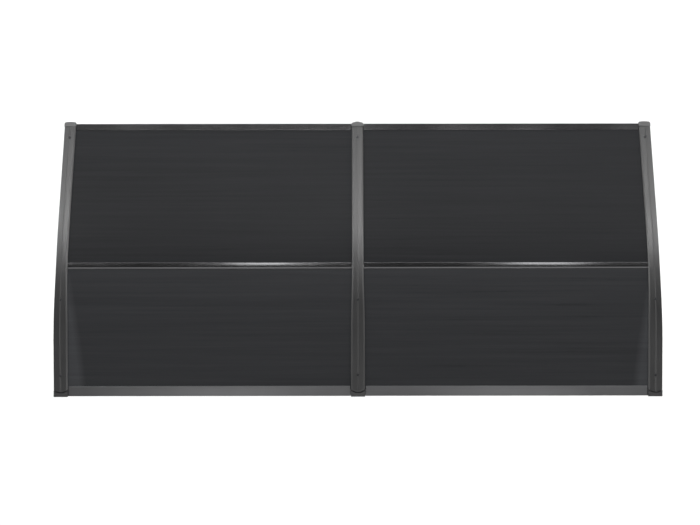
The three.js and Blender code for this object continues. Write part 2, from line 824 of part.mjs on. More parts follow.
// ---------------------------------------------------------------- assembly
const PLACES = [
  { key: "left", side: -1, x: -BRACKET_PITCH },
  { key: "middle", side: 0, x: 0 },
  { key: "right", side: 1, x: BRACKET_PITCH },
];
for (const { key, side, x } of PLACES) {
  const group = new THREE.Group();
  group.position.x = x;
  canopy.add(group);
  add(group, `bracket_${key}`, bracketGeometry(side), bracketPlastic());
  add(
    group,
    `cover_${key}`,
    coverGeometry(side),
    bracketPlastic(),
  );
  add(group, `nose_cap_${key}`, noseGeometry(side), bracketPlastic());
  COVER_SCREWS.forEach((s, i) => {
    const { n } = axesAt(s);
    const head = at(s, 0).addScaledVector(n, COVER_UNDER + 1.8);
    const screw = add(
      group,
      `cover_screw_${key}_${["rear", "centre", "front"][i]}`,
      screwGeometry(4.2, 2.2, 2, 15, 10),
      screwSteel(),
    );
    screw.position.copy(toSpace(head.x, head.y, 0));
    screw.quaternion.setFromUnitVectors(
      new THREE.Vector3(0, 1, 0),
      toSpace(n.x, n.y, 0),
    );
  });
  {
    const { f } = axesAt(ARM_LENGTH - 8);
    const c = at(ARM_LENGTH - 8, NOSE_SCREW_H).addScaledVector(f, 3.3);
    const screw = add(
      group,
      `nose_screw_${key}`,
      screwGeometry(3.6, 2.2, 1.6, 15, 10),
      screwSteel(),
    );
    screw.position.copy(toSpace(c.x, c.y, 0));
    screw.quaternion.setFromUnitVectors(
      new THREE.Vector3(0, 1, 0),
      toSpace(f.x, f.y, 0),
    );
  }
}

const BAYS = [
  { key: "left", from: -BRACKET_PITCH, to: 0 },
  { key: "right", from: 0, to: BRACKET_PITCH },
];
for (const { key, from, to } of BAYS) {
  const group = new THREE.Group();
  canopy.add(group);
  const sheet = [from + SHEET_END, to - SHEET_END];
  add(
    group,
    `rear_sheet_${key}`,
    sheetGeometry(REAR_SHEET_FROM, REAR_SHEET_TO, ...sheet),
    smokedSheet(),
  );
  add(
    group,
    `front_sheet_${key}`,
    sheetGeometry(FRONT_SHEET_FROM, FRONT_SHEET_TO, ...sheet),
    smokedSheet(),
  );
  const bar = widthAt(JOINT_AT - JOINT_BAR) / 2 + 0.5;
  add(
    group,
    `joint_bar_${key}`,
    jointBarGeometry(from + bar, to - bar),
    darkAluminium(),
  );
  const nose = NOSE_WIDTH / 2 + 0.4;
  add(
    group,
    `front_rail_${key}`,
    frontRailGeometry(from + nose, to - nose),
    darkAluminium(),
  );
  const ear = WALL_WIDTH / 2 + EAR + 0.4;
  add(
    group,
    `rear_rail_${key}`,
    rearRailGeometry(from + ear, to - ear),
    darkAluminium(),
  );
  add(
    group,
    `wall_seal_${key}`,
    wallSealGeometry(from + ear, to - ear),
    blackRubber(),
  );
  for (const [end, x, c] of [
    ["left", from, 1],
    ["right", to, -1],
  ]) {
    const up = axesAt(FRONT_SCREW_S).n;
    const low = at(FRONT_SCREW_S, 0).addScaledVector(up, -5.4);
    const a = add(
      group,
      `front_rail_screw_${key}_${end}`,
      screwGeometry(3.2, 1.9, 1.5, 7, 8),
      screwSteel(),
    );
    a.position.copy(toSpace(low.x, low.y, x + c * FRONT_SCREW_X));
    a.quaternion.setFromUnitVectors(
      new THREE.Vector3(0, 1, 0),
      toSpace(-up.x, -up.y, 0),
    );
    const upr = axesAt(REAR_SCREW_S).n;
    const lowr = at(REAR_SCREW_S, 0).addScaledVector(
      upr,
      -11.6 - RAIL_WALL - 0.4,
    );
    const r = add(
      group,
      `rear_rail_screw_${key}_${end}`,
      screwGeometry(3.2, 1.9, 1.5, 9, 8),
      screwSteel(),
    );
    r.position.copy(toSpace(lowr.x, lowr.y, x + c * REAR_SCREW_X));
    r.quaternion.setFromUnitVectors(
      new THREE.Vector3(0, 1, 0),
      toSpace(-upr.x, -upr.y, 0),
    );
  }
}
for (const [key, x, sign] of [
  ["left", -BRACKET_PITCH, 1],
  ["middle_left", 0, -1],
  ["middle_right", 0, 1],
  ["right", BRACKET_PITCH, -1],
]) {
  const mesh = add(canopy, `gasket_${key}`, gasketGeometry(sign), blackRubber());
  mesh.position.x = x;
}

export default canopy;
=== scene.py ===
import math

import bmesh
import bpy
from mathutils import Matrix, Vector


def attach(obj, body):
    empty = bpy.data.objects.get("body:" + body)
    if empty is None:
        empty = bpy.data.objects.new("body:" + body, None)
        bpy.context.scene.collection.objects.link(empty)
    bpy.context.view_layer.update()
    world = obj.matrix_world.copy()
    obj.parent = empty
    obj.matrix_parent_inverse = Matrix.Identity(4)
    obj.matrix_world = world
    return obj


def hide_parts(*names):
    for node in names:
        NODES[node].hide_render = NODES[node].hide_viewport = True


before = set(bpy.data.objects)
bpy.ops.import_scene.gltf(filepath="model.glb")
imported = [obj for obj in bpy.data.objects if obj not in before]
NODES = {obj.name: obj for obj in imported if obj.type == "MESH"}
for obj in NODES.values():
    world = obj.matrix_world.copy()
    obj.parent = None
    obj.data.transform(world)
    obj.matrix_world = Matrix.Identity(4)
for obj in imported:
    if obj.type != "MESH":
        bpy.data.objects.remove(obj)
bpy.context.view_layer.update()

scene = bpy.context.scene
MM = 0.001

# ------------------------------------------------------------------ the canopy's sizes, mm
PITCH = 977.0
WALL_WIDTH, FRONT_WIDTH = 46.0, 38.0
TAPER_FROM, TAPER_TO = 190.0, 450.0
ARM_LENGTH = 941.0
SLOPE_WALL, SLOPE_FRONT = 4.0, 24.0
BEND_FROM, BEND_TO = 100.0, 640.0
SEAT_HEIGHT = 127.0
SHEET_THICK, SHEET_SKIN = 5.0, 0.8
FLUTE_PITCH, FLUTE_RIB = 12.5, 1.2
SHEET_END = 8.0
COVER_UNDER, COVER_TOP, COVER_RIDGE = 7.1, 10.4, 11.5
COVER_LIP, COVER_FROM = 1.6, 24.0
NOSE_LENGTH, NOSE_WIDTH = 17.0, 41.0
ARM_DEPTH_NOSE = 18.0
RAIL_FACE = ARM_LENGTH - 6.0
FRONT_RAIL, REAR_RAIL, REAR_BACK = 24.0, 33.0, 1.5
CHAMBER, REAR_CHAMBER = 11.5, 18.0
JOINT_AT, JOINT_BAR = 430.0, 21.0
RAIL_WALL, FIT, EAR = 1.6, 0.4, 2.5
SLOT = SHEET_THICK + 0.3
RAIL_TOP = SLOT + RAIL_WALL
NOSE_BACK = ARM_LENGTH - NOSE_LENGTH
COVER_TO = NOSE_BACK - FIT
COVER_SCREWS = {"rear": 70.0, "centre": 318.0, "front": ARM_LENGTH - 57.0}
PLACES = {"left": (-1, -PITCH), "middle": (0, 0.0), "right": (1, PITCH)}
BAYS = {"left": (-PITCH, 0.0), "right": (0.0, PITCH)}


# ------------------------------------------------------------------ the arm's curve
def smooth(a, b, s):
    t = min(max((s - a) / (b - a), 0.0), 1.0)
    return t * t * (3 - 2 * t)


def slope(s):
    return math.radians(
        SLOPE_WALL + (SLOPE_FRONT - SLOPE_WALL) * smooth(BEND_FROM, BEND_TO, s)
    )


CURVE = [(0.0, SEAT_HEIGHT)]
for _i in range(960):
    _a = slope(_i + 0.5)
    CURVE.append((CURVE[-1][0] + math.cos(_a), CURVE[-1][1] - math.sin(_a)))


def at(s, h):
    """Distance from the wall and height, mm, at s along the curve and h above it."""
    if s < 0:
        u, z = s * math.cos(slope(0)), SEAT_HEIGHT - s * math.sin(slope(0))
    else:
        i = min(int(s), len(CURVE) - 2)
        k = s - i
        u = CURVE[i][0] * (1 - k) + CURVE[i + 1][0] * k
        z = CURVE[i][1] * (1 - k) + CURVE[i + 1][1] * k
    a = slope(s)
    return u + h * math.sin(a), z + h * math.cos(a)


def point(x, s, h):
    u, z = at(s, h)
    return Vector((x * MM, -u * MM, z * MM))


def axes(s):
    """Forward and up directions at s."""
    a = slope(s)
    return Vector((0, -math.cos(a), -math.sin(a))), Vector(
        (0, -math.sin(a), math.cos(a))
    )


def width(s):
    return WALL_WIDTH + (FRONT_WIDTH - WALL_WIDTH) * smooth(TAPER_FROM, TAPER_TO, s)


def taper(x, s):
    """Draws a cover's section in with the arm; the ridge in its middle stays."""
    if abs(x) <= 3:
        return x
    k = (width(s) / 2 - 3) / (WALL_WIDTH / 2 - 3)
    return (1 if x > 0 else -1) * (3 + (abs(x) - 3) * k)


def stations(a, b, step):
    n = max(1, int(round((b - a) / step)))
    return [a + (b - a) * i / n for i in range(n + 1)]


# ------------------------------------------------------------------ mesh helpers
def make(name, bm, material, node, slot):
    """Turns a bmesh into a piece that rides on the canopy and stands for a CAD node."""
    bmesh.ops.recalc_face_normals(bm, faces=bm.faces)
    mesh = bpy.data.meshes.new(name)
    bm.to_mesh(mesh)
    bm.free()
    return place(name, mesh, material, node, slot)


def place(name, mesh, material, node, slot):
    obj = bpy.data.objects.new(name, mesh)
    scene.collection.objects.link(obj)
    mesh.materials.clear()
    mesh.materials.append(material)
    for p in mesh.polygons:
        p.use_smooth = True
    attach(obj, "root")
    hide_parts(node)
    return obj


def soften(obj, mm, segments=3, angle=32):
    """Rounds the sharp edges of a piece and evens its shading."""
    b = obj.modifiers.new("round", "BEVEL")
    b.width = mm * MM
    b.segments = segments
    b.limit_method = "ANGLE"
    b.angle_limit = math.radians(angle)
    b.miter_outer = "MITER_ARC"
    b.use_clamp_overlap = True
    n = obj.modifiers.new("shade", "WEIGHTED_NORMAL")
    n.keep_sharp = False
    n.weight = 60


def loft(bm, rings):
    """Joins equal closed rings of points with quads and closes both ends."""
    loops = [[bm.verts.new(p) for p in ring] for ring in rings]
    n = len(loops[0])
    for a, b in zip(loops, loops[1:]):
        for i in range(n):
            j = (i + 1) % n
            bm.faces.new((a[i], a[j], b[j], b[i]))
    bm.faces.new(list(reversed(loops[0])))
    bm.faces.new(loops[-1])
    return loops


def rounded(points, radii, segments=4):
    """A closed outline whose corners are rounded by the given radii (0 keeps a corner)."""
    out = []
    n = len(points)
    for i, p in enumerate(points):
        r = radii[i] if isinstance(radii, (list, tuple)) else radii
        p = Vector(p)
        a, b = Vector(points[i - 1]) - p, Vector(points[(i + 1) % n]) - p
        if r <= 0 or a.length < 1e-6 or b.length < 1e-6:
            out.append(p)
            continue
        half = a.angle(b) / 2
        if half > math.radians(88):
            out.append(p)
            continue
        cut = min(r / math.tan(half), a.length * 0.45, b.length * 0.45)
        r = cut * math.tan(half)
        a.normalize()
        b.normalize()
        centre = p + (a + b).normalized() * (r / math.sin(half))
        start, end = p + a * cut - centre, p + b * cut - centre
        turn = math.atan2(start.x * end.y - start.y * end.x, start.dot(end))
        for k in range(segments + 1):
            c, s = math.cos(turn * k / segments), math.sin(turn * k / segments)
            out.append(
                centre + Vector((start.x * c - start.y * s, start.x * s + start.y * c))
            )
    return out


def cut_round(obj, cutters):
    """Cuts closed round bars out of a piece: (base point, direction, radius, length)."""
    bm = bmesh.new()
    for base, way, radius, length in cutters:
        turn = way.to_track_quat("Z", "Y").to_matrix().to_4x4()
        m = Matrix.Translation(base + way * (length / 2)) @ turn
        bmesh.ops.create_cone(
            bm,
            cap_ends=True,
            segments=32,
            radius1=radius,
            radius2=radius,
            depth=length,
            matrix=m,
        )
    mesh = bpy.data.meshes.new("cutter")
    bm.to_mesh(mesh)
    bm.free()
    cutter = bpy.data.objects.new("cutter", mesh)
    scene.collection.objects.link(cutter)
    mod = obj.modifiers.new("cut", "BOOLEAN")
    mod.operation = "DIFFERENCE"
    mod.solver = "EXACT"
    mod.object = cutter
    graph = bpy.context.evaluated_depsgraph_get()
    done = bpy.data.meshes.new_from_object(
        obj.evaluated_get(graph), depsgraph=graph
    )
    obj.modifiers.clear()
    old = obj.data
    obj.data = done
    bpy.data.meshes.remove(old)
    bpy.data.objects.remove(cutter)
    bpy.data.meshes.remove(mesh)
    for p in obj.data.polygons:
        p.use_smooth = True


# ------------------------------------------------------------------ materials
class Shader:
    """A small builder for one procedural surface."""

    def __init__(self, name, color, roughness, metallic=0.0, specular=0.5):
        self.mat = bpy.data.materials.new(name)
        self.mat.use_nodes = True
        self.tree = self.mat.node_tree
        self.nodes, self.links = self.tree.nodes, self.tree.links
        self.bsdf = self.nodes["Principled BSDF"]
        self.bsdf.inputs["Metallic"].default_value = metallic
        self.bsdf.inputs["Specular IOR Level"].default_value = specular
        self.bsdf.inputs["Roughness"].default_value = roughness
        self.bsdf.inputs["Base Color"].default_value = (*color, 1)
        self.color, self.roughness = color, roughness
        self.coord = self.nodes.new("ShaderNodeTexCoord")
        self.normal = None

    def noise(self, scale, stretch=(1, 1, 1), detail=4.0, rough=0.55, shift=(0, 0, 0)):
        m = self.nodes.new("ShaderNodeMapping")
        m.inputs["Scale"].default_value = stretch
        m.inputs["Location"].default_value = shift
        self.links.new(self.coord.outputs["Object"], m.inputs["Vector"])
        t = self.nodes.new("ShaderNodeTexNoise")
        t.inputs["Scale"].default_value = scale
        t.inputs["Detail"].default_value = detail
        t.inputs["Roughness"].default_value = rough
        self.links.new(m.outputs["Vector"], t.inputs["Vector"])
        return t.outputs["Fac"]

    def attribute(self, name):
        a = self.nodes.new("ShaderNodeAttribute")
        a.attribute_name = name
        return a.outputs["Fac"]

    def ramp(self, value, low, high, lo_in=0.3, hi_in=0.7):
        r = self.nodes.new("ShaderNodeMapRange")
        r.inputs["From Min"].default_value = lo_in
        r.inputs["From Max"].default_value = hi_in
        r.inputs["To Min"].default_value = low
        r.inputs["To Max"].default_value = high
        self.links.new(value, r.inputs["Value"])
        return r.outputs["Result"]

    def blend(self, a, b, mode="ADD", clamp=False):
        n = self.nodes.new("ShaderNodeMath")
        n.operation = mode
        n.use_clamp = clamp
        for socket, v in zip(n.inputs, (a, b)):
            if isinstance(v, (int, float)):
                socket.default_value = v
            else:
                self.links.new(v, socket)
        return n.outputs[0]

    def tint(self, factor):
        """Base colour times a varying factor."""
        n = self.nodes.new("ShaderNodeMix")
        n.data_type = "RGBA"
        n.blend_type = "MULTIPLY"
        n.inputs["Factor"].default_value = 1.0
        n.inputs["A"].default_value = (*self.color, 1)
        c = self.nodes.new("ShaderNodeCombineColor")
        for socket in c.inputs:
            self.links.new(factor, socket)
        colour_inputs = [s for s in n.inputs if s.type == "RGBA"]
        colour_inputs[0].default_value = (*self.color, 1)
        self.links.new(c.outputs["Color"], colour_inputs[1])
        out = [s for s in n.outputs if s.type == "RGBA"][0]
        self.links.new(out, self.bsdf.inputs["Base Color"])

    def rough(self, value):
        self.links.new(value, self.bsdf.inputs["Roughness"])

    def bump(self, height, strength, distance):
        b = self.nodes.new("ShaderNodeBump")
        b.inputs["Strength"].default_value = strength
        b.inputs["Distance"].default_value = distance
        self.links.new(height, b.inputs["Height"])
        if self.normal is not None:
            self.links.new(self.normal, b.inputs["Normal"])
        self.normal = b.outputs["Normal"]
        self.links.new(self.normal, self.bsdf.inputs["Normal"])


def moulded_plastic():
    s = Shader("moulded_plastic", (0.0148, 0.0148, 0.0152), 0.36, specular=1.0)
    grain = s.noise(900, detail=3)
    cloud = s.noise(9, detail=5)
    flow = s.noise(30, stretch=(1.0, 0.12, 0.12), detail=3)
    s.tint(
        s.blend(
            s.blend(s.ramp(cloud, 0.90, 1.10), s.ramp(grain, 0.92, 1.08), "MULTIPLY"),
            s.ramp(flow, 0.96, 1.04),
            "MULTIPLY",
        )
    )
    s.rough(s.blend(s.ramp(cloud, 0.33, 0.40), s.ramp(grain, -0.03, 0.03)))
    s.bump(grain, 0.25, 0.00012)
    return s.mat


def smoked_sheet():
    s = Shader("smoked_sheet", (0.0290, 0.0298, 0.0318), 0.32, specular=0.04)
    streak = s.noise(1.0, stretch=(1.6, 95, 95), detail=5, rough=0.6)
    fine = s.noise(1.0, stretch=(9, 420, 420), detail=2)
    cloud = s.noise(4.0, detail=3)
    # Painted light: beside each outer bracket, a triangle of the sheet gets a colour up to 1.56 times
    # lighter. It is 62 mm wide at the wall end and narrows to nothing at the joint, and it stands in for
    # the bracket's web seen lit through the smoked sheet.
    split = s.nodes.new("ShaderNodeSeparateXYZ")
    s.links.new(s.coord.outputs["Object"], split.inputs["Vector"])
    off = s.blend(s.blend(split.outputs["X"], 0.005), 0.0, "ABSOLUTE")
    inward = s.blend(0.961, off, "SUBTRACT")
    back = s.ramp(split.outputs["Y"], 1.0, 0.0, -0.43, 0.0)
    reach = s.ramp(s.blend(back, 1.5, "POWER"), 0.062, 0.0, 0.0, 1.0)
    painted_web_mask = s.ramp(s.blend(reach, inward, "SUBTRACT"), 0.0, 1.0, -0.002, 0.022)
    painted_web_light = s.ramp(painted_web_mask, 1.0, 1.56, 0.0, 1.0)
    # The base colour is multiplied by the streaks, the painted web light and the painted shade gradient
    # along each sheet.
    s.tint(
        s.blend(
            s.blend(s.ramp(streak, 0.895, 1.105), s.ramp(fine, 0.97, 1.03), "MULTIPLY"),
            s.blend(painted_web_light, s.attribute("painted_shade_grade"), "MULTIPLY"),
            "MULTIPLY",
        )
    )
    s.rough(s.blend(s.ramp(streak, 0.28, 0.36), s.ramp(cloud, -0.03, 0.03)))
    s.bump(streak, 0.10, 0.0003)
    return s.mat


def dark_aluminium(name, color, rough):
    s = Shader(name, color, rough, metallic=1.0)
    brush = s.noise(1.0, stretch=(14, 2600, 2600), detail=3)
    die = s.noise(1.0, stretch=(0.8, 520, 520), detail=3)
    cloud = s.noise(6.0, detail=3)
    s.tint(
        s.blend(
            s.blend(s.ramp(brush, 0.93, 1.07), s.ramp(die, 0.94, 1.06), "MULTIPLY"),
            s.ramp(cloud, 0.95, 1.05),
            "MULTIPLY",
        )
    )
    s.rough(
        s.blend(s.ramp(brush, rough - 0.04, rough + 0.06), s.ramp(cloud, -0.03, 0.03))
    )
    s.bump(brush, 0.08, 0.00004)
    return s.mat


def black_rubber():
    s = Shader("black_rubber", (0.014, 0.014, 0.015), 0.78, specular=0.35)
    grain = s.noise(1500, detail=2)
    cloud = s.noise(25, detail=4)
    s.tint(s.blend(s.ramp(grain, 0.85, 1.15), s.ramp(cloud, 0.8, 1.2), "MULTIPLY"))
    s.rough(s.ramp(cloud, 0.70, 0.86))
    s.bump(grain, 0.3, 0.0001)
    return s.mat


def screw_steel():
    s = Shader("screw_steel", (0.060, 0.060, 0.064), 0.38, metallic=0.9)
    grain = s.noise(2200, detail=2)
    cloud = s.noise(160, detail=4)
    s.tint(s.blend(s.ramp(grain, 0.85, 1.15), s.ramp(cloud, 0.75, 1.25), "MULTIPLY"))
    s.rough(s.ramp(cloud, 0.30, 0.48))
    s.bump(grain, 0.15, 0.00005)
    return s.mat


PLASTIC, SHEET, METAL, BLACK_METAL, RUBBER, STEEL = (
    moulded_plastic(),
    smoked_sheet(),
    dark_aluminium("dark_aluminium", (0.196, 0.197, 0.202), 0.34),
    dark_aluminium("black_aluminium", (0.118, 0.118, 0.121), 0.15),
    black_rubber(),
    screw_steel(),
)

# ------------------------------------------------------------------ brackets
for key, (side, x) in PLACES.items():
    node = NODES[f"bracket_{key}"]
    bm = bmesh.new()
    bm.from_mesh(node.data)
    bmesh.ops.remove_doubles(bm, verts=bm.verts, dist=2e-6)
    bmesh.ops.dissolve_limit(
        bm,
        angle_limit=math.radians(0.4),
        use_dissolve_boundaries=False,
        verts=bm.verts,
        edges=bm.edges,
        delimit=set(),
    )
    obj = make(
        f"bracket_body_{key}", bm, PLASTIC, f"bracket_{key}", "bracket_plastic"
    )
    soften(obj, 0.7, 2, 30)


# ------------------------------------------------------------------ covers
def cover(key, side, x):
    w, lip = WALL_WIDTH / 2, SHEET_THICK + 0.4
    flat = w - (6.5 if side == 0 else 5.6)
    drop, ease = (2.0, 14.0) if side == 0 else (3.0, 7.0)

    def dish(px):
        """The top is dished a little on both sides of the ridge."""
        return COVER_TOP - 0.55 * (1 - min(1.0, (px - 2.4) / (flat - 2.4)))

    def half(on_sheet):
        """Right half of the section from the underside to the ridge: (x, h, radius)."""
        if on_sheet:  # lip and sloped shoulder beside a sheet
            pts = [
                (w - COVER_LIP, COVER_UNDER, 0),
                (w - COVER_LIP, lip, 0.3),
                (w, lip, 0.4),
                (w, COVER_TOP - drop, 0.7),
                (flat, dish(flat), ease),
            ]
        else:  # plain outer side
            pts = [
                (w, COVER_UNDER, 0.3),
                (w, dish(w), 1.1),
                (flat, dish(flat), 0),
            ]
        for k in (1, 2, 3, 4, 5):
            px = flat + (2.4 - flat) * k / 6
            pts.append((px, dish(px), 0))
        foot = dish(2.4)
        return pts + [(2.4, foot, 1.0), (0.8, foot + 0.55, 0.7)]

    right, left = half(side <= 0), half(side >= 0)
    section = [(a, b) for a, b, _ in right] + [(-a, b) for a, b, _ in reversed(left)]
    radii = [r for _, _, r in right] + [r for _, _, r in reversed(left)]
    outline = rounded(section, radii, 4)
    rings = []
    end = COVER_TO - 0.5
    stops = stations(COVER_FROM, end, 11)
    stops = stops[:1] + [COVER_FROM + 1.4] + stops[1:-1] + [end - 1.4, end]
    for s in stops:
        fade = max(0.0, 1 - (s - COVER_FROM) / 44) ** 2  # the wall end is rounded in plan
        ring = []
        for p in outline:
            ps = s + fade * (-9.4 + 7.6 * (p.x / w) ** 2)
            ring.append(point(x + taper(p.x, s), ps, p.y))
        rings.append(ring)
    bm = bmesh.new()
    loft(bm, rings)
    obj = make(f"cover_strip_{key}", bm, PLASTIC, f"cover_{key}", "bracket_plastic")
    cuts, holes = [], []
    for spot, s in COVER_SCREWS.items():
        _, up = axes(s)
        seat = 5.6 if spot == "front" else 4.8
        cuts.append((point(x, s, COVER_UNDER + 1.5), up, seat * MM, 12 * MM))
        holes.append((point(x, s, 0), up, 2.5 * MM, 20 * MM))
    cut_round(obj, cuts)
    cut_round(obj, holes)
    soften(obj, 0.45, 2, 40)


for key, (side, x) in PLACES.items():
    cover(key, side, x)


# ------------------------------------------------------------------ nose caps
def nose(key, side, x):
    f, n = axes(ARM_LENGTH - 8)
    u, z = at(NOSE_BACK, 0)
    base = Vector((x * MM, -u * MM, z * MM))
    w, length = NOSE_WIDTH / 2, NOSE_LENGTH
    plan = [(-w, 0), (w, 0)]
    corner, crown = (10.0, 2.2) if side == 0 else (6.5, 0.9)
    deep = min(corner, 7.2)
    for k in range(9):  # right front corner
        a = math.pi / 2 * k / 8
        plan.append(
            (w - corner + corner * math.cos(a), length - crown - deep + deep * math.sin(a))
        )
    for k in range(1, 12):  # shallow crown
        t = k / 12
        px = (w - corner) * (1 - 2 * t)
        plan.append((px, length - crown + crown * (1 - (2 * t - 1) ** 2)))
    for k in range(9):
        a = math.pi / 2 * (1 - k / 8)
        plan.append(
            (-w + corner - corner * math.cos(a), length - crown - deep + deep * math.sin(a))
        )
    low, high, r = -ARM_DEPTH_NOSE - 1.0, COVER_RIDGE + 0.3, 2.0
    levels = []
    for k in range(5):
        a = math.pi / 2 * k / 4
        levels.append((low + r * (1 - math.cos(a)), r * (1 - math.sin(a))))
    for k in range(5):
        a = math.pi / 2 * k / 4
        levels.append((high - r + r * math.sin(a), r * (1 - math.cos(a))))
    rings = []
    for k, (h, inset) in enumerate(levels):
        ring = []
        for px, pf in plan:
            sx = (w - inset) / w
            front = pf if pf < 0.01 else max(pf - inset * (pf / length), 0.2)
            drop = 1.2 * (1 - front / length) if k > 4 else 0.0  # top falls to the back
            ring.append(
                base
                + Vector((px * sx * MM, 0, 0))
                + f * (front * MM)
                + n * ((h - drop) * MM)
            )
        rings.append(ring)
    bm = bmesh.new()
    loft(bm, rings)
    obj = make(f"nose_block_{key}", bm, PLASTIC, f"nose_cap_{key}", "bracket_plastic")
    c0 = point(x, ARM_LENGTH - 8, -11)
    cut_round(obj, [(c0 + f * (3 * MM), f, 4.2 * MM, 12 * MM)])
    cut_round(obj, [(c0 - f * (16 * MM), f, 1.9 * MM, 36 * MM)])
    # lugs that carry the front rails
    bm = bmesh.new()
    bm.from_mesh(obj.data)
    for c in (-1, 1) if side == 0 else (-side,):
        x0, x1 = c * (w - 1), c * (w + 15)
        ring0 = [
            (RAIL_FACE - CHAMBER + RAIL_WALL + FIT, -5 + RAIL_WALL + FIT),
            (RAIL_FACE - RAIL_WALL - FIT, -5 + RAIL_WALL + FIT),
            (RAIL_FACE - RAIL_WALL - FIT, SLOT - FIT),
            (RAIL_FACE - CHAMBER + RAIL_WALL + FIT, SLOT - FIT),
        ]
        first = len(bm.faces)
        loft(bm, [[point(x + xx, s, h) for s, h in ring0] for xx in (x0, x1)])
        bm.faces.ensure_lookup_table()
        bmesh.ops.recalc_face_normals(bm, faces=bm.faces[first:])
    bm.to_mesh(obj.data)
    bm.free()
    for p in obj.data.polygons:
        p.use_smooth = True
    soften(obj, 0.35, 2, 40)


for key, (side, x) in PLACES.items():
    nose(key, side, x)


# ------------------------------------------------------------------ hollow sheets
def sheet(name, node, s0, s1, x0, x1, shade_span):
    count = int((s1 - s0 - FLUTE_RIB) // FLUTE_PITCH)
    pitch = (s1 - s0 - FLUTE_RIB) / count
    T, k = SHEET_THICK, SHEET_SKIN
    cols = []  # (s, sag of the skins)
    for i in range(count):
        a = s0 + i * pitch
        cols += [(a, 0.0), (a + FLUTE_RIB, 0.0)]
        span = pitch - FLUTE_RIB
        for t in (0.25, 0.5, 0.75):
            cols.append((a + FLUTE_RIB + span * t, 0.05 * math.sin(math.pi * t)))
    cols += [(s1 - FLUTE_RIB, 0.0), (s1, 0.0)]
    per = 5
    bm = bmesh.new()
    grid = []
    for s, sag in cols:
        row = []
        for h in (sag, k + sag, T - k - sag, T - sag):
            row.append([bm.verts.new(point(xx, s, h)) for xx in (x0, x1)])
        grid.append(row)
    m = len(cols)

    def quad(a, b, c, d):
        bm.faces.new((a, b, c, d))

    for j in range(m - 1):
        A, B = grid[j], grid[j + 1]
        rib = j % per == 0
        quad(A[0][0], A[0][1], B[0][1], B[0][0])  # underside
        quad(A[3][0], B[3][0], B[3][1], A[3][1])  # top
        if not rib:
            quad(A[1][0], B[1][0], B[1][1], A[1][1])
            quad(A[2][0], A[2][1], B[2][1], B[2][0])
        for e, flip in ((0, False), (1, True)):
            strips = [(0, 1), (2, 3)] + ([(1, 2)] if rib else [])
            for lo, hi in strips:
                f = [A[lo][e], B[lo][e], B[hi][e], A[hi][e]]
                bm.faces.new(list(reversed(f)) if flip else f)
    for j in range(m):  # rib walls and the two long edges
        row = grid[j]
        spot = j % per
        if j == 0 or j == m - 1:
            for lo, hi in ((0, 1), (1, 2), (2, 3)):
                quad(row[lo][0], row[hi][0], row[hi][1], row[lo][1])
        elif spot in (0, 1):
            quad(row[1][0], row[2][0], row[2][1], row[1][1])
    obj = make(name, bm, SHEET, node, "smoked_sheet")
    # Painted shade: each sheet's colour runs from darker at its wall-side edge to lighter at its front
    # edge. This is a lighting gradient put into the colour through the two shade_span values.
    painted_shade_grade = obj.data.attributes.new("painted_shade_grade", "FLOAT", "POINT")
    for i, (s, _) in enumerate(cols):
        value = shade_span[0] + (shade_span[1] - shade_span[0]) * ((s - s0) / (s1 - s0)) ** 1.7
        for k in range(8):
            painted_shade_grade.data[i * 8 + k].value = value
    sharp = obj.modifiers.new("shade", "WEIGHTED_NORMAL")
    sharp.keep_sharp = True
    obj.data.set_sharp_from_angle(angle=math.radians(35))
    return obj


REAR_FROM = REAR_BACK + REAR_CHAMBER + RAIL_WALL + FIT
# The last pair for each sheet is its painted shade: the colour factor at the wall-side edge and at the
# front edge.
for key, (a, b) in BAYS.items():
    x0, x1 = a + SHEET_END, b - SHEET_END
    sheet(
        f"hollow_sheet_rear_{key}",
        f"rear_sheet_{key}",
        REAR_FROM,
        JOINT_AT - 0.8 - FIT,
        x0,
        x1,
        (1.06, 1.17),
    )
    sheet(
        f"hollow_sheet_front_{key}",
        f"front_sheet_{key}",
        JOINT_AT + 0.8 + FIT,
        RAIL_FACE - CHAMBER - FIT,
        x0,
        x1,
        (0.78, 0.99),
    )


# ------------------------------------------------------------------ rails and joint bars
def extrusion(name, node, outline, x0, x1, hole=None, finish=BLACK_METAL):
    """A side outline of (distance from wall, height) drawn out along X, with an open hollow."""
    bm = bmesh.new()
    ends = []
    for xx in (x0, x1):
        loops = []
        for line in [outline] + ([hole] if hole else []):
            loops.append([bm.verts.new(Vector((xx * MM, -u * MM, z * MM))) for u, z in line])
        ends.append(loops)
    for i in range(len(ends[0])):
        a, b = ends[0][i], ends[1][i]
        n = len(a)
        for k in range(n):
            j = (k + 1) % n
            bm.faces.new((a[k], a[j], b[j], b[k]))
    for loops in ends:
        edges = []
        for loop in loops:
            n = len(loop)
            for k in range(n):
                e = bm.edges.get((loop[k], loop[(k + 1) % n]))
                edges.append(e)
        bmesh.ops.triangle_fill(bm, use_beauty=True, use_dissolve=False, edges=edges)
    obj = make(name, bm, finish, node, "dark_aluminium")
    obj.data.set_sharp_from_angle(angle=math.radians(28))
    n = obj.modifiers.new("shade", "WEIGHTED_NORMAL")
    n.keep_sharp = True
    return obj


def outline_at(pairs, radii, segments=4):
    return [at(p.x, p.y) for p in rounded(pairs, radii, segments)]


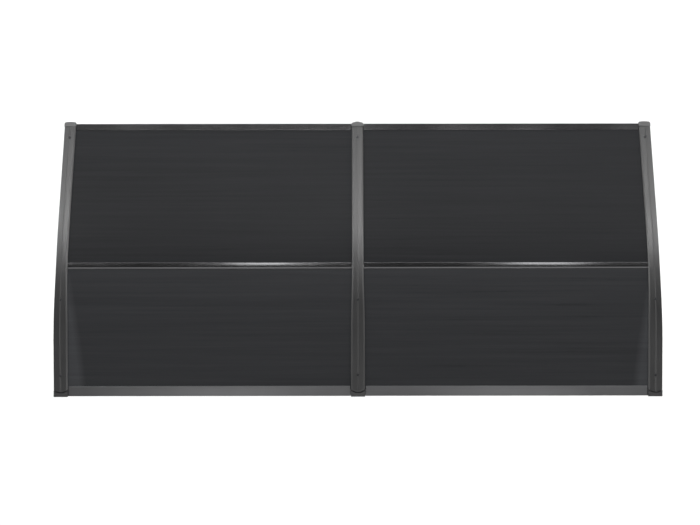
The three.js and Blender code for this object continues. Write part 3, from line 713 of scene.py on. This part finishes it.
def front_rail(key, x0, x1):
    e, c = RAIL_FACE, RAIL_FACE - CHAMBER
    pairs = [
        (c - 8.5, -0.3 - RAIL_WALL),
        (c, -0.3 - RAIL_WALL),
        (c, -5),
        (e - RAIL_WALL, -5),
        (e - RAIL_WALL, -15),
        (e, -15),
        (e, RAIL_TOP),
        (e - FRONT_RAIL, RAIL_TOP),
        (e - FRONT_RAIL, SLOT),
        (c + 0.01, SLOT),
        (c + 0.01, -0.3),
        (c - 8.5, -0.3),
    ]
    radii = [0.3, 0.2, 0.5, 0.4, 0.4, 0.5, 1.4, 0.7, 0.3, 0.2, 0.2, 0.3]
    hole = [
        at(c + RAIL_WALL, -5 + RAIL_WALL),
        at(c + RAIL_WALL, SLOT),
        at(e - RAIL_WALL, SLOT),
        at(e - RAIL_WALL, -5 + RAIL_WALL),
    ]
    extrusion(
        f"front_edge_rail_{key}",
        f"front_rail_{key}",
        outline_at(pairs, radii),
        x0,
        x1,
        hole,
    )


def rear_rail(key, x0, x1):
    b, c, e = REAR_BACK, REAR_BACK + REAR_CHAMBER, REAR_BACK + REAR_RAIL
    low = at(b, -11.6 - RAIL_WALL)[1]
    flat = [
        (c + RAIL_WALL, -11.6 - RAIL_WALL),
        (c + RAIL_WALL, -0.3 - RAIL_WALL),
        (e - 4, -0.3 - RAIL_WALL),
        (e - 4, -0.3),
        (c + RAIL_WALL, -0.3),
        (c + RAIL_WALL, SLOT),
        (e, SLOT),
        (e, RAIL_TOP + 0.6),
        (e - 3.3, RAIL_TOP + 0.6),
        (e - 4.2, RAIL_TOP),
    ]
    pts = [(b, low)] + [at(s, h) for s, h in flat] + [(b, at(b, RAIL_TOP)[1])]
    pts += [(b, low + 13), (b + 0.9, low + 13), (b + 0.9, low + 6), (b, low + 6)]
    radii = [0.5, 0.5, 0.2, 0.3, 0.3, 0.2, 0.2, 0.3, 0.7, 0.6, 0.5, 1.0, 0.2, 0, 0, 0.2]
    outline = [(p.x, p.y) for p in rounded(pts, radii, 4)]
    back = b + RAIL_WALL + 0.9
    hole = [
        (back, at(b + 2, -11.6)[1]),
        (back, at(b + 2, SLOT)[1]),
        at(c, SLOT),
        at(c, -11.6),
    ]
    extrusion(f"wall_edge_rail_{key}", f"rear_rail_{key}", outline, x0, x1, hole, METAL)


def joint_bar(key, x0, x1):
    a, b, w = JOINT_AT - JOINT_BAR / 2, JOINT_AT + JOINT_BAR / 2, 0.8
    top = RAIL_TOP
    lower = [
        (2.0, -0.3 - RAIL_WALL, 0.3),
        (2.0, -0.3, 0.2),
        (JOINT_BAR / 2 - w, -0.3, 0.2),
        (JOINT_BAR / 2 - w, SLOT, 0.2),
        (0.0, SLOT, 0.3),
    ]
    crown = [  # from the front edge to the wall side
        (0.0, top + 0.7, 0.4),
        (1.3, top + 1.18, 0.7),
        (5.0, top + 1.36, 12.0),
        (9.0, top + 1.43, 20.0),
        (12.5, top + 1.40, 20.0),
        (15.6, top + 1.26, 0.8),
        (20.1, top - 1.25, 0.5),
        (21.0, top - 1.25, 0.2),
    ]
    pairs = [(b - d, h) for d, h, _ in lower + crown]
    pairs += [(a + d, h) for d, h, _ in reversed(lower)]
    radii = [r for _, _, r in lower + crown] + [r for _, _, r in reversed(lower)]
    extrusion(f"sheet_joint_{key}", f"joint_bar_{key}", outline_at(pairs, radii), x0, x1)


for key, (a, b) in BAYS.items():
    e = NOSE_WIDTH / 2 + 0.4
    front_rail(key, a + e, b - e)
    e = WALL_WIDTH / 2 + EAR + 0.4
    rear_rail(key, a + e, b - e)
    e = width(JOINT_AT - JOINT_BAR) / 2 + 0.5
    joint_bar(key, a + e, b - e)


# ------------------------------------------------------------------ screws
def screw_mesh(name, r, k, shank, length):
    """A pan-head screw with a cross recess, its axis on +Z and its head above z = 0, in mm."""
    bm = bmesh.new()
    profile = [(0.02, -length), (shank * 0.8, -length + shank * 1.3)]
    turns = 7
    start, end = -length + shank * 1.8, -1.0
    for i in range(turns):  # thread as rings
        z0 = start + (end - start) * i / turns
        dz = (end - start) / turns
        profile += [(shank * 0.78, z0), (shank, z0 + dz * 0.35), (shank * 0.78, z0 + dz * 0.7)]
    profile += [(shank * 0.9, 0.0), (r, 0.0), (r, k * 0.32)]
    for i in range(1, 6):
        a = math.pi / 2 * i / 6
        profile.append((r * 0.45 + r * 0.55 * math.cos(a), k * 0.32 + k * 0.68 * math.sin(a)))
    profile.append((r * 0.4, k))
    profile.append((0.02, k))
    rings = []
    for q in range(28):
        a = 2 * math.pi * q / 28
        rings.append([bm.verts.new((p * math.cos(a), p * math.sin(a), z)) for p, z in profile])
    for q in range(28):
        A, B = rings[q], rings[(q + 1) % 28]
        for i in range(len(profile) - 1):
            bm.faces.new((A[i], B[i], B[i + 1], A[i + 1]))
    bm.faces.new([ring[0] for ring in reversed(rings)])
    bm.faces.new([ring[-1] for ring in rings])
    bmesh.ops.recalc_face_normals(bm, faces=bm.faces)
    mesh = bpy.data.meshes.new(name)
    bm.to_mesh(mesh)
    bm.free()
    holder = bpy.data.objects.new(name, mesh)
    scene.collection.objects.link(holder)
    cb = bmesh.new()
    for turn in (0, math.pi / 2):  # tapered cross
        for sx in (1,):
            vs = []
            for z, half in ((k * 0.25, r * 0.30), (k + 0.6, r * 0.56)):
                for px, py in ((-half, -0.14 * r), (half, -0.14 * r), (half, 0.14 * r), (-half, 0.14 * r)):
                    c, s = math.cos(turn), math.sin(turn)
                    vs.append(cb.verts.new((px * c - py * s, px * s + py * c, z)))
            for f in ((3, 2, 1, 0), (4, 5, 6, 7), (0, 1, 5, 4), (1, 2, 6, 5), (2, 3, 7, 6), (3, 0, 4, 7)):
                cb.faces.new([vs[i] for i in f])
    cm = bpy.data.meshes.new("cross")
    cb.to_mesh(cm)
    cb.free()
    cross = bpy.data.objects.new("cross", cm)
    scene.collection.objects.link(cross)
    mod = holder.modifiers.new("cut", "BOOLEAN")
    mod.operation = "DIFFERENCE"
    mod.solver = "EXACT"
    mod.use_self = True
    mod.object = cross
    graph = bpy.context.evaluated_depsgraph_get()
    done = bpy.data.meshes.new_from_object(holder.evaluated_get(graph), depsgraph=graph)
    for o in (holder, cross):
        bpy.data.objects.remove(o)
    bpy.data.meshes.remove(mesh)
    bpy.data.meshes.remove(cm)
    done.transform(Matrix.Scale(MM, 4))
    return done


def screw(name, node, mesh, base, way, turn):
    m = mesh.copy()
    q = way.to_track_quat("Z", "Y").to_matrix().to_4x4()
    m.transform(Matrix.Translation(base) @ q @ Matrix.Rotation(turn, 4, "Z"))
    obj = place(name, m, STEEL, node, "screw_steel")
    obj.data.set_sharp_from_angle(angle=math.radians(35))


COVER_SCREW = screw_mesh("cover_screw_form", 4.2, 2.2, 2.0, 15)
NOSE_SCREW = screw_mesh("nose_screw_form", 3.6, 2.2, 1.6, 15)
RAIL_SCREW = screw_mesh("rail_screw_form", 3.2, 1.9, 1.5, 7)
REAR_SCREW = screw_mesh("rear_screw_form", 3.2, 1.9, 1.5, 9)
turn = 0.4
for key, (side, x) in PLACES.items():
    for spot, s in COVER_SCREWS.items():
        _, up = axes(s)
        turn += 0.7
        screw(
            f"pan_screw_cover_{key}_{spot}",
            f"cover_screw_{key}_{spot}",
            COVER_SCREW,
            point(x, s, COVER_UNDER + 1.8),
            up,
            turn,
        )
    f, _ = axes(ARM_LENGTH - 8)
    turn += 0.7
    screw(
        f"pan_screw_nose_{key}",
        f"nose_screw_{key}",
        NOSE_SCREW,
        point(x, ARM_LENGTH - 8, -11) + f * (3.3 * MM),
        f,
        turn,
    )
FRONT_S, FRONT_X = RAIL_FACE - 5.8, NOSE_WIDTH / 2 + 8.5
REAR_S, REAR_X = REAR_BACK + 10.5, WALL_WIDTH / 2 + EAR + 8.5
for key, (a, b) in BAYS.items():
    for end, xx, c in (("left", a, 1), ("right", b, -1)):
        _, up = axes(FRONT_S)
        turn += 0.7
        screw(
            f"pan_screw_front_{key}_{end}",
            f"front_rail_screw_{key}_{end}",
            RAIL_SCREW,
            point(xx + c * FRONT_X, FRONT_S, -5.4),
            -up,
            turn,
        )
        _, up = axes(REAR_S)
        turn += 0.7
        screw(
            f"pan_screw_rear_{key}_{end}",
            f"rear_rail_screw_{key}_{end}",
            REAR_SCREW,
            point(xx + c * REAR_X, REAR_S, -11.6 - RAIL_WALL - 0.4),
            -up,
            turn,
        )
for m in (COVER_SCREW, NOSE_SCREW, RAIL_SCREW, REAR_SCREW):
    bpy.data.meshes.remove(m)

# ------------------------------------------------------------------ rubber parts stay as they are
for name, node in NODES.items():
    if name.startswith(("gasket_", "wall_seal_")):
        node.data.materials.clear()
        node.data.materials.append(RUBBER)

# ------------------------------------------------------------------ floor
FLOOR = -1.55
fm = bpy.data.meshes.new("floor")
fm.from_pydata(
    [(-30, -30, FLOOR), (30, -30, FLOOR), (30, 30, FLOOR), (-30, 30, FLOOR)],
    [],
    [(0, 1, 2, 3)],
)
floor = bpy.data.objects.new("floor", fm)
scene.collection.objects.link(floor)
fs = Shader("floor_paint", (0.93, 0.93, 0.93), 0.9, specular=0.1)
fs.tint(fs.ramp(fs.noise(1.3, detail=4), 0.99, 1.01))
fm.materials.append(fs.mat)

# ------------------------------------------------------------------ light
WORLD = 1.05
world = bpy.data.worlds.new("studio")
scene.world = world
world.use_nodes = True
backdrop = world.node_tree.nodes["Background"]
backdrop.inputs["Strength"].default_value = WORLD
way = world.node_tree.nodes.new("ShaderNodeTexCoord")
parts = world.node_tree.nodes.new("ShaderNodeSeparateXYZ")
fall = world.node_tree.nodes.new("ShaderNodeMapRange")
fall.interpolation_type = "SMOOTHSTEP"
for socket, value in (("From Min", 0.20), ("From Max", 0.80), ("To Min", 1.0), ("To Max", 0.115)):
    fall.inputs[socket].default_value = value
links = world.node_tree.links
links.new(way.outputs["Generated"], parts.inputs["Vector"])
links.new(parts.outputs["Z"], fall.inputs["Value"])
links.new(fall.outputs["Result"], backdrop.inputs["Color"])


def softbox(name, place, aim, wide, high, watts):
    data = bpy.data.lights.new(name, "AREA")
    data.shape = "RECTANGLE"
    data.size, data.size_y = wide, high
    data.energy = watts
    obj = bpy.data.objects.new(name, data)
    scene.collection.objects.link(obj)
    obj.location = place
    obj.rotation_mode = "QUATERNION"
    obj.rotation_quaternion = (Vector(aim) - Vector(place)).to_track_quat("-Z", "Y")
    obj.visible_camera = False
    return obj


def over(name, degrees, x, wide, high, watts, aim_x=None):
    """A softbox 2.6 m from the canopy, tipped outward from straight above by an angle."""
    a = math.radians(degrees)
    place = (x, -0.45 - 2.6 * math.sin(a), 0.03 + 2.6 * math.cos(a))
    aim = (x if aim_x is None else aim_x, -0.45, 0.03)
    return softbox(name, place, aim, wide, high, watts)


softbox("side_left", (-4.2, -0.4, 2.6), (0, -0.4, -0.6), 3.0, 3.0, 40)
softbox("side_right", (4.2, -0.4, 2.6), (0, -0.4, -0.6), 3.0, 3.0, 40)
over("strip_front", 46, 0, 4.6, 0.35, 19)
over("crest", 45, 0.14, 0.14, 0.4, 3.6)
over("front_a", 48, 0.62, 0.4, 0.3, 2.0)
over("front_b", 48, -0.77, 0.4, 0.3, 1.6)
over("glint_a", 33, 0.47, 0.30, 0.30, 1.8, 0.3)
over("glint_b", 33, -0.98, 0.36, 0.30, 1.7, -0.6)
over("flank_a", 42, 1.76, 0.26, 0.4, 7.4, 0.9)
over("flank_b", 42, -1.82, 0.26, 0.4, 7.4, -0.9)
over("band_rear", -30, 0, 4.6, 0.4, 6)
over("rear_a", -20, 0.62, 0.6, 0.4, 2.6)
over("rear_b", -20, -0.80, 0.6, 0.4, 2.6)
for _side, _x in (("left", -2.7), ("right", 2.7)):
    softbox(f"wash_{_side}", (_x, -0.55, -0.6), (0, -0.55, FLOOR), 2.4, 0.5, 21.4)
softbox("wash_front", (0, -2.95, -0.6), (0, -0.55, FLOOR), 3.0, 0.5, 37.4)
softbox("wash_back", (0, 1.85, -0.6), (0, -0.55, FLOOR), 3.0, 0.5, 26.4)

# ------------------------------------------------------------------ camera
tilt, roll, distance = math.radians(5.906), math.radians(-0.072), 4.609
look = Vector((0, math.sin(tilt), -math.cos(tilt)))
up = Vector((0, -math.cos(tilt), -math.sin(tilt)))
right = look.cross(up)
r2 = right * math.cos(roll) + up * math.sin(roll)
u2 = up * math.cos(roll) - right * math.sin(roll)
target = Vector((0.0258, -0.450, 0.030)) + up * -0.01784
cd = bpy.data.cameras.new("camera")
cd.sensor_width = 36.0
cd.lens = 1384.1 / 700 * 36.0
cd.clip_start, cd.clip_end = 0.1, 100
cam = bpy.data.objects.new("camera", cd)
scene.collection.objects.link(cam)
m = Matrix((r2, u2, -look)).transposed().to_4x4()
m.translation = target - look * distance
cam.matrix_world = m
scene.camera = cam
scene.view_settings.view_transform = "Standard"
